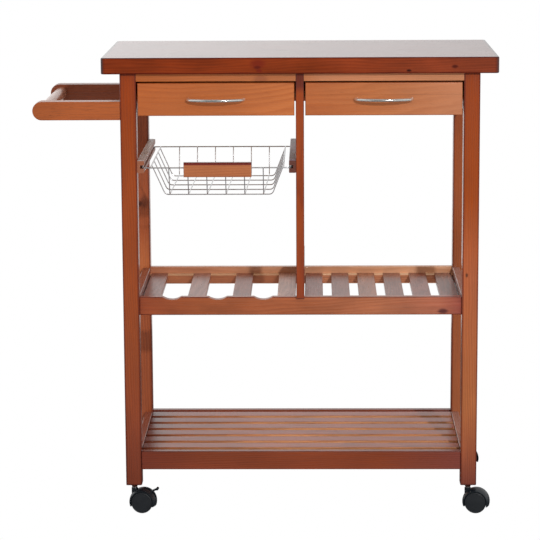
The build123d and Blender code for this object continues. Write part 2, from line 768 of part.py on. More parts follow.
def caster_wheel(edge):
    with BuildPart() as wheel:
        with BuildSketch(trail_plane):
            with Locations((edge * (wheel_inner + wheel_outer) / 2, wheel_radius + wheel_radius / 2)):
                Rectangle(wheel_width, wheel_radius)
        revolve(axis=axle_line)
        fillet(wheel.edges().filter_by(GeomType.CIRCLE).filter_by(lambda e: e.radius > wheel_radius - 0.1),
               radius=wheel_shoulder)
        with Locations((caster_trail, edge * wheel_outer, wheel_radius)):
            Cylinder(wheel_dish_radius, 2 * wheel_dish_depth, rotation=lay_y, mode=Mode.SUBTRACT)
        with Locations((caster_trail, edge * (axle_half + axle_clearance) / 2, wheel_radius)):
            Cylinder(axle_radius + axle_clearance, axle_half + axle_clearance, rotation=lay_y,
                     mode=Mode.SUBTRACT)
    return wheel.part


def brake_lever():
    with BuildPart() as lever:
        with Locations((lever_pivot_x, 0, lever_pivot_z)):
            Cylinder(lever_thickness, 2 * lever_half_width, rotation=lay_y)
            Cylinder(lever_pin_radius, 2 * web_half, rotation=lay_y)
        with Locations(Location((lever_pivot_x, 0, lever_pivot_z), (0, -lever_angle, 0))):
            Box(lever_length, 2 * lever_half_width, lever_thickness,
                align=(Align.MIN, Align.CENTER, Align.CENTER))
        tip = (lever_pivot_x + lever_length * cos(radians(lever_angle)), 0,
               lever_pivot_z + lever_length * sin(radians(lever_angle)))
        with Locations(tip):
            Cylinder(lever_tip_radius, 2 * lever_half_width, rotation=lay_y)
    return lever.part


with BuildPart() as caster_axle:
    with Locations((caster_trail, 0, wheel_radius)):
        Cylinder(axle_radius, 2 * axle_half, rotation=lay_y)
with BuildPart() as caster_stem:
    with Locations((0, 0, stem_head_lift)):
        Cylinder(stem_radius, leg_foot + socket_depth - 2 - stem_head_lift,
                 align=(Align.CENTER, Align.CENTER, Align.MIN))
        Cylinder(stem_head_radius, stem_head_height, align=(Align.CENTER, Align.CENTER, Align.MIN))
with BuildPart() as caster_socket:
    with Locations((0, 0, leg_foot)):
        Cylinder(socket_radius, socket_depth, align=(Align.CENTER, Align.CENTER, Align.MIN))
    with Locations((0, 0, leg_foot)):
        Cone(collar_foot_radius, collar_top_radius, collar_height,
             align=(Align.CENTER, Align.CENTER, Align.MAX))
    with Locations((0, 0, leg_foot - collar_height - 1)):
        Cylinder(bore_radius, socket_depth + collar_height + 2,
                 align=(Align.CENTER, Align.CENTER, Align.MIN), mode=Mode.SUBTRACT)
caster_stems = []
caster_sockets = []
for name, (x, y) in leg_places.items():
    place = Location((x, y, 0), (0, 0, -caster_yaw[name]))
    caster_stems.append(caster_stem.part.moved(place).solid())
    caster_sockets.append(caster_socket.part.moved(place).solid())
    has_lever = name.endswith("left")
    save("caster_" + name + "_hood", [caster_hood(has_lever).moved(place)])
    save("caster_" + name + "_axle", [caster_axle.part.moved(place)])
    save("caster_" + name + "_wheel_near", [caster_wheel(-1).moved(place)])
    save("caster_" + name + "_wheel_far", [caster_wheel(1).moved(place)])
    if has_lever:
        save("caster_" + name + "_brake", [brake_lever().moved(place)])
save("caster_stems", caster_stems)
save("caster_sockets", caster_sockets)
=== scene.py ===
import bpy
import bmesh
from math import pi, radians, sin
from mathutils import Matrix, Vector


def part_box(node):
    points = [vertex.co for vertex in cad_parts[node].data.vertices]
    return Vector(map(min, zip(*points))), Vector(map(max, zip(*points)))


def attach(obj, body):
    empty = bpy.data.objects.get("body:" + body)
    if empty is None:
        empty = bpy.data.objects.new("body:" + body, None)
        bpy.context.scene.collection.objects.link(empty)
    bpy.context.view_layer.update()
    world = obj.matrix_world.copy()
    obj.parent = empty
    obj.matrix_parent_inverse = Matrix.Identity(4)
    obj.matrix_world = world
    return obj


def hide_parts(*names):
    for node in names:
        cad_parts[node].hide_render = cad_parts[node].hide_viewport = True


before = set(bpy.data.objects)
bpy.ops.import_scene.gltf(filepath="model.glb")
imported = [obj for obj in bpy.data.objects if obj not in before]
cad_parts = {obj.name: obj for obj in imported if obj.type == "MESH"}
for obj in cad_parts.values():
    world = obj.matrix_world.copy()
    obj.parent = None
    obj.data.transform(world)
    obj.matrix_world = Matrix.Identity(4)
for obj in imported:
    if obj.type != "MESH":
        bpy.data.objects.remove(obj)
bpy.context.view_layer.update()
print("frame loaded,", len(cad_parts), "pieces")


def fromHex(code):
    channels = [int(code[k:k + 2], 16) / 255 for k in (1, 3, 5)]
    return tuple(c / 12.92 if c <= 0.04045 else ((c + 0.055) / 1.055) ** 2.4 for c in channels) + (1,)


def addNode(tree, kind, inputs={}, **settings):
    node = tree.nodes.new("ShaderNode" + kind)
    for key, value in settings.items():
        setattr(node, key, value)
    for key, value in inputs.items():
        if isinstance(value, bpy.types.NodeSocket):
            tree.links.new(value, node.inputs[key])
        else:
            node.inputs[key].default_value = value
    return node


def newMaterial(name):
    material = bpy.data.materials.new(name)
    material.use_nodes = True
    tree = material.node_tree
    tree.nodes.clear()
    shader = addNode(tree, "BsdfPrincipled")
    addNode(tree, "OutputMaterial", {"Surface": shader.outputs[0]})
    return material, tree, shader


def calc(tree, operation, *values, kind="Math"):
    return addNode(tree, kind, dict(enumerate(values)), operation=operation).outputs[0]


def vectorCalc(tree, operation, *values):
    return calc(tree, operation, *values, kind="VectorMath")


def scaled(tree, vector, factor):
    return addNode(tree, "VectorMath", {0: vector, "Scale": factor}, operation="SCALE").outputs[0]


def mapRange(tree, value, low, high, start=0, stop=1, **settings):
    return addNode(tree, "MapRange", {0: value, 1: low, 2: high, 3: start, 4: stop}, **settings).outputs[0]


def mixed(tree, factor, colour, other):
    return addNode(tree, "Mix", {0: factor, 6: colour, 7: other}, data_type="RGBA").outputs[2]


def objectPlace(tree):
    return addNode(tree, "TexCoord").outputs["Object"]


def colourAlong(tree, distance, stops, blend):
    start, end = stops[0][0], stops[-1][0]
    ramp = addNode(tree, "ValToRGB", {0: mapRange(tree, distance, start, end)})
    ramp.color_ramp.interpolation = blend
    first, last = ramp.color_ramp.elements
    first.color, last.color = fromHex(stops[0][1]), fromHex(stops[-1][1])
    for level, code in stops[1:-1]:
        ramp.color_ramp.elements.new((level - start) / (end - start)).color = fromHex(code)
    return ramp.outputs[0]


# How a colour runs along an axis: blended between stops, in steps, or all the same
def fade(axis, *stops):
    return axis, "LINEAR", stops


def jump(axis, *stops):
    return axis, "CONSTANT", stops


def plain(axis, code):
    return fade(axis, (0, code), (100, code))


# Stained and lacquered pine. The late wood takes less stain, the arrises are drawn darker, and open pores and
# fibres under the lacquer give a soft, slightly grainy sheen that turns pale at a low angle.
# Lengths are in millimetres; a fibre, a pore and a wave are each as long and as wide as their pair says.
woodBase = {
    "along": "X", "heart": (0, 37, 61), "tilt": (0.0, 1.2, 0.8), "ring": 3.8, "wander": 9, "ringDepth": "#e6dad0",
    "ringStops": ((0.12, "#000000"), (0.82, "#ffffff"), (0.97, "#404040")), "wave": (260, 42),
    "stainAndPaintedLight": plain("X", "#b46a3c"), "tints": [],
    "fibreSize": (70, 1.5), "fibre": 0.11, "blotch": 0.12, "blotchSize": 60, "blotchStretch": 0.35,
    "poreSize": (9, 0.4), "pores": 0.25, "poreRelief": 0.4, "poreDepth": 0.05,
    "roughness": 0.28, "smoothest": -0.04, "roughest": 0.05,
    "box": None, "edgeReach": 2.4, "edgeEnd": 0.7, "edgeWander": 2, "edgeTint": "#b08474",
    "split": [], "plankShift": 900, "knotsAndShadowSpots": [], "knotAndShadowStretch": 0.6, "seams": [],
}
grainTurn = {"X": (0, 0, 0), "Y": (0, 0, radians(-90)), "Z": (0, radians(90), 0)}
alongAxis = {"X": 0, "Y": 1, "Z": 2}


def noiseAlong(tree, place, size, **detail):
    length, width = size
    stretched = vectorCalc(tree, "MULTIPLY", place, (1 / length, 1 / width, 1 / width))
    return addNode(tree, "TexNoise", {"Vector": stretched, "Scale": 1, **detail}).outputs


# The second largest of the three distances past the box is near zero on an arris.
def arrisDistance(tree, axes, box):
    low, high = box
    past = []
    for k in range(3):
        middle, half = (low[k] + high[k]) * 500, (high[k] - low[k]) * 500   # half of a sum in metres, in millimetres
        off = calc(tree, "ABSOLUTE", calc(tree, "SUBTRACT", axes[k], middle))
        past.append(calc(tree, "SUBTRACT", off, half))
    smaller = calc(tree, "MINIMUM", past[0], past[1])
    larger = calc(tree, "MAXIMUM", past[0], past[1])
    return calc(tree, "MAXIMUM", calc(tree, "MINIMUM", larger, past[2]), smaller)


def stainedWood(name, **changes):
    look = dict(woodBase, **changes)
    material, tree, shader = newMaterial(name)
    millimetres = scaled(tree, objectPlace(tree), 1000)
    axes = addNode(tree, "SeparateXYZ", {0: millimetres}).outputs

    # every plank of a piece is cut from another place in the log
    figure = millimetres
    if look["split"]:
        steps = {}
        for axis, start, pitch in look["split"]:
            count = calc(tree, "SUBTRACT", axes[alongAxis[axis]], start)
            steps[alongAxis[axis]] = calc(tree, "FLOOR", calc(tree, "DIVIDE", count, pitch))
        plank = addNode(tree, "CombineXYZ", steps).outputs[0]
        chance = addNode(tree, "TexWhiteNoise", {"Vector": plank}, noise_dimensions="3D").outputs["Color"]
        figure = vectorCalc(tree, "MULTIPLY_ADD", chance, (look["plankShift"],) * 3, millimetres)
    turned = addNode(tree, "Mapping", {"Vector": figure, "Location": look["heart"],
                                       "Rotation": grainTurn[look["along"]]}).outputs[0]
    tilt = tuple(radians(angle) for angle in look["tilt"])
    turned = addNode(tree, "Mapping", {"Vector": turned, "Rotation": tilt}).outputs[0]

    # growth rings round the heart of the log, 3 to 5 mm apart, that wander along the plank
    waves = noiseAlong(tree, turned, look["wave"], Detail=2)
    centred = vectorCalc(tree, "SUBTRACT", waves["Color"], (0.5, 0.5, 0.5))
    swing = look["wander"] * 2
    bent = vectorCalc(tree, "MULTIPLY_ADD", centred, (0, swing, swing), turned)
    flat = vectorCalc(tree, "MULTIPLY", bent, (0, 1, 1))
    reach = addNode(tree, "VectorMath", {0: flat}, operation="LENGTH").outputs["Value"]
    phase = calc(tree, "FRACT", calc(tree, "MULTIPLY", reach, 1 / look["ring"]))
    ring = colourAlong(tree, phase, look["ringStops"], "EASE")
    strength = mapRange(tree, waves["Fac"], 0.35, 0.65, 0.15, 1.0)
    ringMask = calc(tree, "MULTIPLY", ring, strength)

    # fibres, pores, and cloudy patches where stain pooled
    fibres = noiseAlong(tree, turned, look["fibreSize"], Detail=4, Roughness=0.62)["Fac"]
    pores = noiseAlong(tree, turned, look["poreSize"], Detail=1)["Fac"]
    stretched = vectorCalc(tree, "MULTIPLY", turned, (look["blotchStretch"], 1, 1))
    patches = addNode(tree, "TexNoise", {"Vector": stretched, "Scale": 1 / look["blotchSize"],
                                         "Detail": 3}).outputs["Fac"]
    tone = mapRange(tree, fibres, 0.25, 0.75, 1 + look["fibre"], 1 - look["fibre"])
    for mask, low, high, start, stop in ((pores, 0.6, 0.8, 1, 1 - look["pores"]),
                                         (patches, 0.3, 0.7, 1 - look["blotch"], 1 + look["blotch"])):
        tone = calc(tree, "MULTIPLY", tone, mapRange(tree, mask, low, high, start, stop))
    for axis, level, width, depth in look["seams"]:   # glue lines
        onLine = calc(tree, "COMPARE", axes[alongAxis[axis]], level, width)
        tone = calc(tree, "MULTIPLY", tone, mapRange(tree, onLine, 0, 1, 1, 1 - depth))

    # the base colour along an axis: the wood's stain, and on some pieces painted light, painted reflection and painted
    # shade as well
    axis, blend, stops = look["stainAndPaintedLight"]
    colour = colourAlong(tree, axes[alongAxis[axis]], stops, blend)
    for axis, blend, stops in look["tints"]:
        tint = colourAlong(tree, axes[alongAxis[axis]], stops, blend)
        colour = vectorCalc(tree, "MULTIPLY", colour, tint)
    late = vectorCalc(tree, "MULTIPLY", colour, fromHex(look["ringDepth"])[:3])
    colour = scaled(tree, mixed(tree, ringMask, colour, late), tone)

    if look["box"]:
        uneven = calc(tree, "MULTIPLY_ADD", fibres, look["edgeWander"], arrisDistance(tree, axes, look["box"]))
        onEdge = mapRange(tree, uneven, 1 - look["edgeReach"], look["edgeEnd"], interpolation_type="SMOOTHSTEP")
        darker = vectorCalc(tree, "MULTIPLY", colour, fromHex(look["edgeTint"])[:3])
        colour = mixed(tree, onEdge, colour, darker)

    # knots, and spots of painted shadow that are drawn the same way as knots
    stretch = [1, 1, 1]
    stretch[alongAxis[look["along"]]] = look["knotAndShadowStretch"]
    for point, size, code in look["knotsAndShadowSpots"]:
        gap = vectorCalc(tree, "MULTIPLY", vectorCalc(tree, "SUBTRACT", millimetres, point), stretch)
        away = addNode(tree, "VectorMath", {0: gap}, operation="LENGTH").outputs["Value"]
        uneven = calc(tree, "MULTIPLY_ADD", fibres, size, away)
        inKnotAndShadowSpot = mapRange(tree, uneven, size * 1.5, size * 0.8, interpolation_type="SMOOTHSTEP")
        colour = mixed(tree, inKnotAndShadowSpot, colour, fromHex(code))

    relief = calc(tree, "MULTIPLY_ADD", pores, look["poreRelief"], fibres)
    bump = addNode(tree, "Bump", {"Height": relief, "Distance": look["poreDepth"] / 1000}).outputs[0]
    sheen = mapRange(tree, fibres, 0.3, 0.7, look["roughness"] + look["smoothest"],
                     look["roughness"] + look["roughest"])
    tree.links.new(colour, shader.inputs["Base Color"])
    tree.links.new(sheen, shader.inputs["Roughness"])
    tree.links.new(bump, shader.inputs["Normal"])
    return material


def dress(material, *names):
    for name in names:
        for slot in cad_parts[name].material_slots:
            slot.material = material


# Work board and legs
boardLook = {
    "stainAndPaintedLight": fade("X", (-280, "#823211"), (60, "#853513"), (400, "#863c24")), "heart": (0, 30, -745),
    "tints": [fade("X", (-280, "#7c6464"), (-276.5, "#7c6464"), (-274, "#ffffff"),
                   (393, "#ffffff"), (397, "#a48890"), (400, "#a48890")),
              fade("Z", (780, "#ffffff"), (806.8, "#ffffff"), (807.3, "#e0d2d2"))],
    "ring": 4.4, "wander": 12, "ringDepth": "#cdb2a4", "edgeReach": 3.5, "edgeTint": "#a86a5c", "roughness": 0.13,
    "split": [("Y", -164.5, 57.4)], "blotch": 0.22, "blotchSize": 34, "fibre": 0.16,
    "knotsAndShadowSpots": [((-11, -164.5, 797), 11, "#762612"), ((-12, -164.5, 790.5), 5, "#5e1c10"),
              ((-9, -164.5, 785), 4, "#702212"), ((246.1, -164.5, 784.6), 3.6, "#34120c"),
              ((324.3, -164.5, 791.1), 4.4, "#501c12")],
}
dress(stainedWood("glossStainedBoard", box=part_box("top_board"), **boardLook), "top_board")

legLooks = {
    "leg_front_left": {
        "stainAndPaintedLight": fade("Z", (50, "#77331b"), (120, "#7f3920"), (300, "#95461f"), (640, "#99420f"), (780, "#953904")),
        "heart": (400, 52, 40)},
    "leg_front_right": {
        "stainAndPaintedLight": fade("Z", (50, "#723628"), (100, "#8d482c"), (200, "#a66034"), (420, "#ae5d35"), (560, "#984104"),
                      (780, "#903904")),
        "heart": (200, 61, 38), "knotsAndShadowSpots": [((348.6, -151.5, 427.3), 3.3, "#64341e")]},
    "leg_rear_left": {
        "stainAndPaintedLight": fade("Z", (50, "#9d5230"), (330, "#a1522d"), (395, "#c36f40"), (456, "#a3522c"), (720, "#934d31")),
        # the rear-left leg is paler round 395 mm high; its two spots are partly knots and partly painted shadow that
        # deepens the basket grip's cast shadow on the leg
        "heart": (0, 47, 58), "knotsAndShadowSpots": [((-231, 138.5, 513), 11, "#7e3f26"), ((-238, 138.5, 509), 5, "#642f1d")]},
    "leg_rear_right": {"stainAndPaintedLight": fade("Z", (50, "#a55d36"), (780, "#994819")), "heart": (700, 66, 44)},
}
for name, look in legLooks.items():
    dress(stainedWood("satinStainedLeg_" + name, along="Z", box=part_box(name), edgeReach=4, **look), name)

# Rails, aprons and posts
railLooks = {
    "front_top_rails": {
        "stainAndPaintedLight": fade("X", (-220, "#b15e29"), (60, "#ba6f41"), (100, "#c37e55"), (340, "#c38158")),
        "heart": (0, 45, 20), "split": [("X", 60, 400)], "knotsAndShadowSpots": [((-7, -150.5, 769), 10, "#a05a36")]},
    "back_aprons": {"stainAndPaintedLight": plain("X", "#a3552e"), "heart": (0, 80, -600), "split": [("X", 60, 400)]},
    "side_aprons": {"stainAndPaintedLight": plain("Y", "#a3552e"), "along": "Y", "split": [("X", 60, 400)]},
    "centre_post_front": {
        "stainAndPaintedLight": fade("Z", (380, "#8d3c1a"), (560, "#953e0d"), (745, "#99400f"), (757, "#6e2a18"), (780, "#6a2816")),
        "along": "Z", "box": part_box("centre_post_front"), "edgeReach": 1.5},
    "centre_post_rear": {"stainAndPaintedLight": plain("Z", "#9c4e2c"), "along": "Z", "box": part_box("centre_post_rear"),
                         "edgeReach": 1.5},
    "mid_front_rail": {
        "stainAndPaintedLight": fade("X", (-221, "#8b4022"), (-120, "#974e2a"), (60, "#a35a36"), (200, "#aa6544"), (300, "#a86148"),
                      (341, "#94483a")),
        "heart": (0, 40, -300), "box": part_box("mid_front_rail"), "blotch": 0.16, "blotchSize": 30,
        "ringDepth": "#f0e6de", "knotsAndShadowSpots": [((308.3, -145.5, 362.7), 7, "#5c2c28")]},
    "mid_back_rail": {"stainAndPaintedLight": fade("X", (-221, "#c47f5d"), (60, "#cf9772"), (341, "#dea780")),
                      "heart": (300, 48, -310), "blotch": 0.14},
    "side_rails": {"stainAndPaintedLight": jump("X", (-221, "#8b4b38"), (60, "#a77464"), (341, "#a77464")), "along": "Y",
                   "split": [("X", 60, 400), ("Z", 0, 200)]},
    "bottom_rails": {"stainAndPaintedLight": fade("X", (-221, "#722f1c"), (-100, "#7f391c"), (200, "#833a1b"), (341, "#78392e")),
                     "split": [("Y", 0, 400)], "box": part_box("bottom_rails"), "edgeReach": 1.5, "heart": (0, 30, -60)},
    "wine_divider": {"stainAndPaintedLight": plain("Y", "#9c4e2c"), "along": "Y"},
}
for name, look in railLooks.items():
    dress(stainedWood("satinStainedRail_" + name, **look), name)

# Slats: every slat takes the stain in its own way
slatBase = {"roughness": 0.30, "poreDepth": 0.08, "fibre": 0.22, "pores": 0.4, "blotch": 0.16, "blotchSize": 24,
            "ringDepth": "#d8c4b8"}
slatLooks = {
    "wine_slats": {
        "along": "Y", "split": [("X", -220, 79.6)],
        "stainAndPaintedLight": jump("X", (-220, "#8d5647"), (-140, "#a47161"), (-60, "#8a4a32"), (18, "#d8a68e"), (60, "#a06a54"))},
    "shelf_slats": {
        "along": "Y", "split": [("X", 67.6, 47.94)],
        "stainAndPaintedLight": jump("X", (67, "#8a4026"), (110, "#8c5240"), (158, "#a2613f"), (206, "#8a503c"), (254, "#8e4c38"),
                      (302, "#824630"), (350, "#7c4638"))},
    "bottom_slats": {
        # the front faces of the bottom slats, below their tops, are painted paler than the tops: painted light where
        # the key lamp falls on them; the tint darkens the slats towards their left ends
        "split": [("Y", -137.5, 46)], "stainAndPaintedLight": fade("Z", (103, "#c99569"), (112, "#c99569"), (112.4, "#a7522c")),
        "tints": [fade("X", (-221, "#7c4438"), (-170, "#d2b4a6"), (40, "#fff4ec"), (341, "#e8d8cc"))]},
    "slat_battens": {
        "along": "X", "stainAndPaintedLight": fade("Z", (50, "#c07a54"), (375.6, "#c07a54"), (376.4, "#ffd8ae")),
        "tints": [jump("X", (-221, "#e2d6cc"), (60, "#ffffff"), (341, "#ffffff"))]},
}
for name, look in slatLooks.items():
    dress(stainedWood("satinStainedSlat_" + name, **{**slatBase, **look}), name)

# Drawer fronts, handle, basket runners and grip; the fronts are planed finer than the rest
frontBase = {"fibre": 0.08, "poreDepth": 0.03, "blotch": 0.07, "ringDepth": "#efe6de", "edgeReach": 1.6,
             "edgeTint": "#d0b4a4"}
frontLooks = {
    "drawer_left_front": {
        **frontBase, "box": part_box("drawer_left_front"), "stainAndPaintedLight": fade("X", (-210, "#b25e2b"), (50, "#c06d38")),
        "heart": (0, 52, -700)},
    "drawer_right_front": {
        **frontBase, "box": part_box("drawer_right_front"),
        "stainAndPaintedLight": fade("X", (70, "#b56332"), (200, "#ba6e3e"), (330, "#bb7751")),
        "heart": (500, 44, -690), "seams": [("Z", 742, 0.8, 0.12)]},
    "handle_arms": {"stainAndPaintedLight": fade("Y", (-152, "#a55528"), (-100, "#a55528"), (130, "#85452b"), (167, "#85452b")),
                    "split": [("Y", 0, 400)], "fibre": 0.2, "pores": 0.6},
    "handle_bar": {"stainAndPaintedLight": plain("Y", "#b88068"), "along": "Y", "roughness": 0.2},
    "basket_runners": {
        # the runners' top faces are painted pale grey as a painted reflection of the white room, and the right runner
        # is tinted darker as painted shadow of the centre post
        "stainAndPaintedLight": fade("Z", (607, "#98583a"), (628.6, "#98583a"), (629.3, "#c4b6b2")), "along": "Y",
        "split": [("X", -84, 200)], "roughness": 0.4,
        "tints": [jump("X", (-221, "#ffffff"), (-84, "#a89cb4"), (53, "#a89cb4"))]},
    "basket_grip": {"stainAndPaintedLight": fade("Z", (601, "#b1683f"), (622, "#b1683f"), (623, "#742014"), (627, "#681a10"))},
}
for name, look in frontLooks.items():
    dress(stainedWood("satinHoneyStained_" + name, **look), name)

# Plain sanded pine inside the drawers and under the board: no stain, no lacquer, so pale and matt
pineLook = {"stainAndPaintedLight": plain("X", "#d4ac78"), "ringDepth": "#d8bc98", "roughness": 0.6, "fibre": 0.08, "blotch": 0.05,
            "pores": 0.1}
dress(stainedWood("sandedPineInside", along="Y", split=[("X", -340, 91)], **pineLook),
      "drawer_left_box", "drawer_right_box", "drawer_runners", "centre_drawer_guide", "board_cleats")
dress(stainedWood("sandedPineBottom", **pineLook), "drawer_left_bottom", "drawer_right_bottom")
dress(stainedWood("turnedBeechDowel", **pineLook), "frame_dowels")
print("woods made")


# Metals: the plate is a near mirror with a thin milky haze of dust and cleaner, turned pins keep fine lines
metalLook = {"hazeScale": 600, "smoothest": 0.75, "roughest": 1.35, "relief": 0.000004}


def platedMetal(name, tint, roughness, hazed=0):
    material, tree, shader = newMaterial(name)
    place = objectPlace(tree)
    haze = addNode(tree, "TexNoise", {"Vector": place, "Scale": metalLook["hazeScale"], "Detail": 3}).outputs["Fac"]
    spread = mapRange(tree, haze, 0, 1, roughness * metalLook["smoothest"], roughness * metalLook["roughest"])
    bump = addNode(tree, "Bump", {"Height": haze, "Distance": metalLook["relief"]}).outputs[0]
    shader.inputs["Base Color"].default_value = fromHex(tint)
    shader.inputs["Metallic"].default_value = 1 - hazed
    tree.links.new(spread, shader.inputs["Roughness"])
    tree.links.new(bump, shader.inputs["Normal"])
    return material


# Moulded plastics: nylon with a fine spark-eroded grain of about 0.3 mm, softly glossy and a little scuffed
plasticLook = {"grain": 0.3, "scuff": 14, "smoothest": -0.05, "roughest": 0.07, "darkest": 0.9, "palest": 1.1,
               "relief": 0.00001}


def mouldedPlastic(name, tint, roughness):
    material, tree, shader = newMaterial(name)
    place = objectPlace(tree)
    grain = {"Vector": place, "Scale": 500 / plasticLook["grain"], "Detail": 2}   # two grains to a noise cell
    patch = {"Vector": place, "Scale": 1000 / plasticLook["scuff"], "Detail": 3}
    texture = addNode(tree, "TexNoise", grain).outputs["Fac"]
    scuff = addNode(tree, "TexNoise", patch).outputs["Fac"]
    spread = mapRange(tree, scuff, 0.3, 0.7, roughness + plasticLook["smoothest"], roughness + plasticLook["roughest"])
    tone = mapRange(tree, scuff, 0.3, 0.7, plasticLook["darkest"], plasticLook["palest"])
    colour = scaled(tree, fromHex(tint)[:3], tone)
    bump = addNode(tree, "Bump", {"Height": texture, "Distance": plasticLook["relief"]}).outputs[0]
    tree.links.new(colour, shader.inputs["Base Color"])
    tree.links.new(spread, shader.inputs["Roughness"])
    tree.links.new(bump, shader.inputs["Normal"])
    return material


casterNames = ("front_left", "front_right", "rear_left", "rear_right")
chromePlate = platedMetal("polishedChromePlate", "#e2e2de", 0.2, hazed=0.16)
wirePlate = platedMetal("brightPlatedWire", "#dadcde", 0.22, hazed=0.22)
dress(platedMetal("turnedSteel", "#d4d2cf", 0.25), "caster_stems",
      *["caster_" + name + "_axle" for name in casterNames])
dress(platedMetal("zincPlatedScrew", "#c2beb4", 0.32), "wood_screws", "drawer_left_screws", "drawer_right_screws")
blackNylon = mouldedPlastic("blackNylonHood", "#0d171e", 0.42)
wheelNylon = mouldedPlastic("darkGreyNylonWheel", "#191d22", 0.5)
dress(blackNylon, *["caster_" + name + "_hood" for name in casterNames],
      "caster_front_left_brake", "caster_rear_left_brake")
dress(mouldedPlastic("brownNylonSocket", "#3a1e14", 0.4), "caster_sockets")
print("metals and plastics made")


def finishPiece(name, mesh, material, body, node):
    bmesh.ops.remove_doubles(mesh, verts=mesh.verts, dist=1e-6)
    bmesh.ops.recalc_face_normals(mesh, faces=mesh.faces)
    data = bpy.data.meshes.new(name)
    mesh.to_mesh(data)
    mesh.free()
    data.shade_smooth()
    data.set_sharp_from_angle(angle=radians(40))
    data.materials.append(material)
    piece = bpy.data.objects.new(name, data)
    bpy.context.scene.collection.objects.link(piece)
    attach(piece, body)
    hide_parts(node)


# Bow pulls of chromed rod: a straight neck, a tight bend, a long nearly flat bow, and back again
pullLook = {"rod": 0.0029, "rodSides": 24, "flatten": 0.9, "halfSpan": 0.048, "neck": 0.0023, "reach": 0.0251,
            "flatTurn": radians(26), "flatRadius": 0.090, "flatSteps": 28, "bendSteps": 14}
for hand in ("left", "right"):
    low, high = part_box("drawer_" + hand + "_pull")
    middle, face, level = (low[0] + high[0]) / 2, high[1], (low[2] + high[2]) / 2
    bend = pullLook["halfSpan"] - pullLook["flatRadius"] * sin(pullLook["flatTurn"])
    bend /= 1 - sin(pullLook["flatTurn"])
    turn = pi / 2 - pullLook["flatTurn"]
    bow = bmesh.new()
    start = Matrix.Translation((middle - pullLook["halfSpan"], face, level)) @ Matrix.Rotation(pi / 2, 4, "X")
    bmesh.ops.create_circle(bow, segments=pullLook["rodSides"], radius=pullLook["rod"], matrix=start)
    ring = bow.edges[:]
    neckEnd = face - pullLook["neck"]
    bowFront = face - pullLook["reach"]
    # a neck goes out by 1 or back by -1, and a bend turns about its centre
    moves = [(None, None, 1), ((middle - pullLook["halfSpan"] + bend, neckEnd), turn, pullLook["bendSteps"]),
             ((middle, bowFront + pullLook["flatRadius"]), 2 * pullLook["flatTurn"], pullLook["flatSteps"]),
             ((middle + pullLook["halfSpan"] - bend, neckEnd), turn, pullLook["bendSteps"]), (None, None, -1)]
    for centre, angle, count in moves:
        if centre is None:
            grown = bmesh.ops.extrude_edge_only(bow, edges=ring)["geom"]
            bmesh.ops.translate(bow, vec=(0, -pullLook["neck"] * count, 0),
                                verts=[v for v in grown if isinstance(v, bmesh.types.BMVert)])
        else:
            grown = bmesh.ops.spin(bow, geom=ring, cent=(*centre, level), axis=(0, 0, 1), angle=angle,
                                   steps=count)["geom_last"]
        ring = [e for e in grown if isinstance(e, bmesh.types.BMEdge)]
    bmesh.ops.holes_fill(bow, edges=[e for e in bow.edges if e.is_boundary], sides=0)
    bmesh.ops.scale(bow, vec=(1, 1, pullLook["flatten"]), space=Matrix.Translation((0, 0, -level)), verts=bow.verts)
    finishPiece("bowPull_" + hand, bow, chromePlate, "drawer_" + hand, "drawer_" + hand + "_pull")
print("pulls made")

# Wire basket: round wires bent over tight corners and welded where they cross, one curve with a radius per wire
basketLook = {"rim": 0.0011, "mesh": 0.00095, "rimCorner": 0.008, "bend": 0.006, "bendSteps": 6, "weldBite": 0.0003,
              "sides": (-0.198, 0.0314), "floorSpan": (-0.175, 0.0115), "crossRows": (-0.114, 0.113),
              "floorRows": (-0.125, 0.117), "longNear": (-0.1665, 0.0326), "longFar": (-0.1635, 0.0331),
              "longCount": 6, "crossCount": 5}


def bentPath(corners, bend):
    path = [Vector(corners[0])]
    count = basketLook["bendSteps"]
    for before, corner, after in zip(corners, corners[1:], corners[2:]):
        corner = Vector(corner)
        start = corner + (Vector(before) - corner).normalized() * bend
        stop = corner + (Vector(after) - corner).normalized() * bend
        for t in range(count + 1):
            path.append(start.lerp(corner, t / count).lerp(corner.lerp(stop, t / count), t / count))
    return path + [Vector(corners[-1])]


low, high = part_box("basket_wires")
rim, mesh = basketLook["rim"], basketLook["mesh"]
west, east, south, north = low[0] + rim, high[0] - rim, low[1] + rim, high[1] - rim
top, floorLevel = high[2] - rim, low[2] + mesh
longLevel = floorLevel + 2 * mesh - basketLook["weldBite"]
centre = (west + east) / 2
wirePaths = []
for x in (west, east):
    corners = [(centre, south, top), (x, south, top), (x, north, top), (centre, north, top)]
    wirePaths.append((bentPath(corners, basketLook["rimCorner"]), rim))
for x in basketLook["sides"]:
    wirePaths.append(([Vector((x, south, top)), Vector((x, north, top))], rim))
for k in range(basketLook["longCount"]):
    near = basketLook["longNear"][0] + k * basketLook["longNear"][1]
    far = basketLook["longFar"][0] + k * basketLook["longFar"][1]
    corners = [(near, south, top), (near, basketLook["floorRows"][0], longLevel),
               (far, basketLook["floorRows"][1], longLevel), (far, north, top)]
    wirePaths.append((bentPath(corners, basketLook["bend"]), mesh))
for k in range(basketLook["crossCount"]):
    first, last = basketLook["crossRows"]
    y = first + k * (last - first) / (basketLook["crossCount"] - 1)
    corners = [(basketLook["sides"][0], y, top), (basketLook["floorSpan"][0], y, floorLevel),
               (basketLook["floorSpan"][1], y, floorLevel), (basketLook["sides"][1], y, top)]
    wirePaths.append((bentPath(corners, basketLook["bend"]), mesh))
wireCurve = bpy.data.curves.new("basketWire", "CURVE")
wireCurve.dimensions = "3D"
wireCurve.bevel_depth = rim
wireCurve.bevel_resolution = 3
wireCurve.use_fill_caps = True
for path, radius in wirePaths:
    spline = wireCurve.splines.new("POLY")
    spline.points.add(len(path) - 1)
    for point, place in zip(spline.points, path):
        point.co = (*place, 1)
        point.radius = radius / rim
